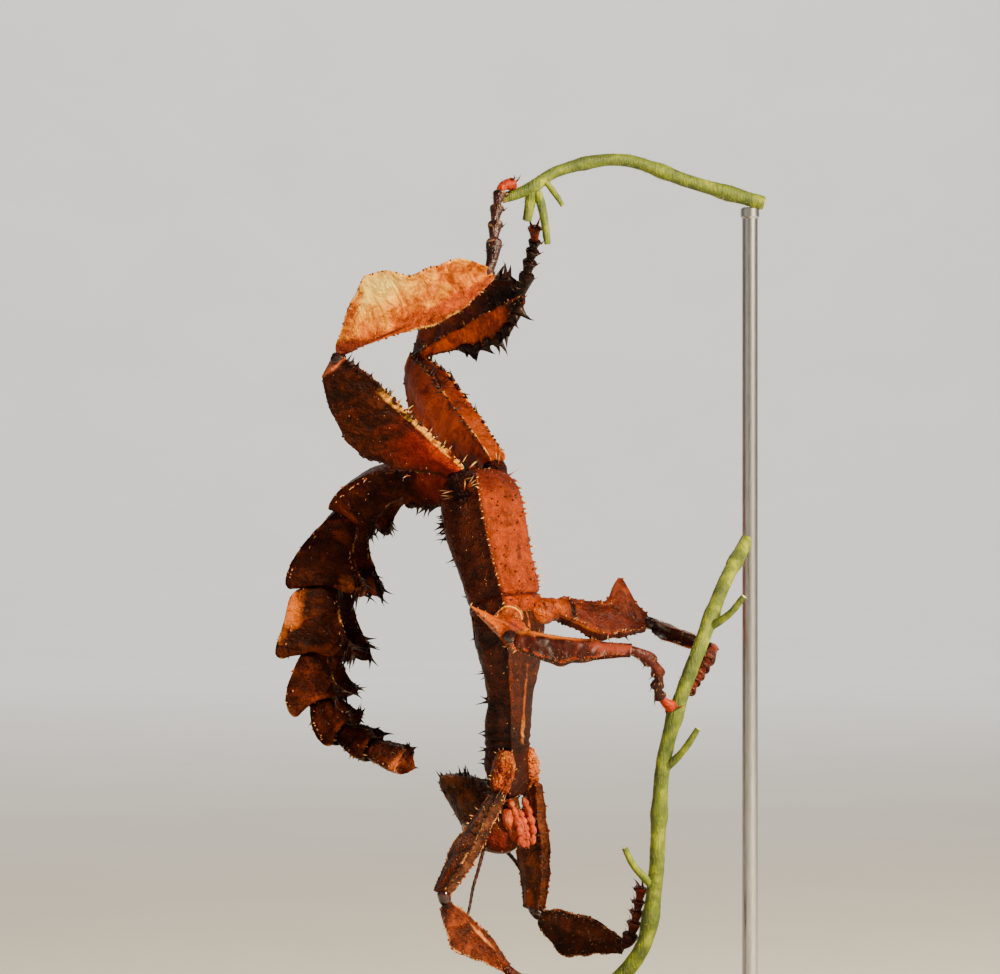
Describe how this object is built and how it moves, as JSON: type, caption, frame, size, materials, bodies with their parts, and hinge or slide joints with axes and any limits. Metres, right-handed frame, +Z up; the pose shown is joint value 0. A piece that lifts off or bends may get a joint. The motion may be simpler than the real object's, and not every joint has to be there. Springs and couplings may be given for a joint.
{
  "type": "stick insect",
  "caption": "Life-size spiny stick insect with leaf-like legs and a tail curled over its back, hanging head down between cut twigs on a flat display stand.",
  "frame": {"origin": "middle of the base's flat underside", "axes": "+Z up, from the insect's head towards its hips. +X towards its belly and the side twig, and a little of its right side. -Y towards its left side."},
  "size_m": [0.104, 0.076, 0.1676],
  "materials": {
    "shell": "satin, leathery red-brown shell",
    "lobes": "satin, wrinkled dead-leaf orange-brown",
    "dark": "satin, purple-brown",
    "mouth": "satin, salmon-orange",
    "eye": "glossy, pale with dark flecks",
    "bark": "matt green bark",
    "wood": "satin dark wood",
    "steel": "satin"
  },
  "bodies": {
    "root": {"prothorax": "shell", "mesothorax": "shell", "metathorax": "shell", "abdomen_2": "shell", "abdomen_3": "shell", "abdomen_4": "shell", "abdomen_5": "shell", "abdomen_6": "shell", "abdomen_7": "shell", "abdomen_8": "shell", "abdomen_tip": "shell", "head": "shell", "eye_left": "eye", "eye_right": "eye", "antenna_left": "dark", "antenna_right": "dark", "mouthparts": "mouth", "wing_pad_left": "lobes", "wing_pad_right": "lobes", "hind_left_coxa": "shell", "hind_left_femur": "lobes", "hind_left_tibia": "lobes", "hind_left_tarsus": "dark", "hind_right_coxa": "shell", "hind_right_femur": "lobes", "hind_right_tibia": "lobes", "hind_right_tarsus": "dark", "mid_left_coxa": "shell", "mid_left_femur": "lobes", "mid_left_tibia": "lobes", "mid_left_tarsus": "dark", "mid_right_coxa": "shell", "mid_right_femur": "lobes", "mid_right_tibia": "lobes", "mid_right_tarsus": "dark", "fore_left_coxa": "shell", "fore_left_femur": "lobes", "fore_left_tibia": "lobes", "fore_left_tarsus": "dark", "fore_right_coxa": "shell", "fore_right_femur": "lobes", "fore_right_tibia": "lobes", "fore_right_tarsus": "dark", "perch_top": "bark", "perch_side": "bark", "stand_rod_tall": "steel", "stand_rod_short": "steel", "stand_base": "wood"}
  },
  "joints": []
}
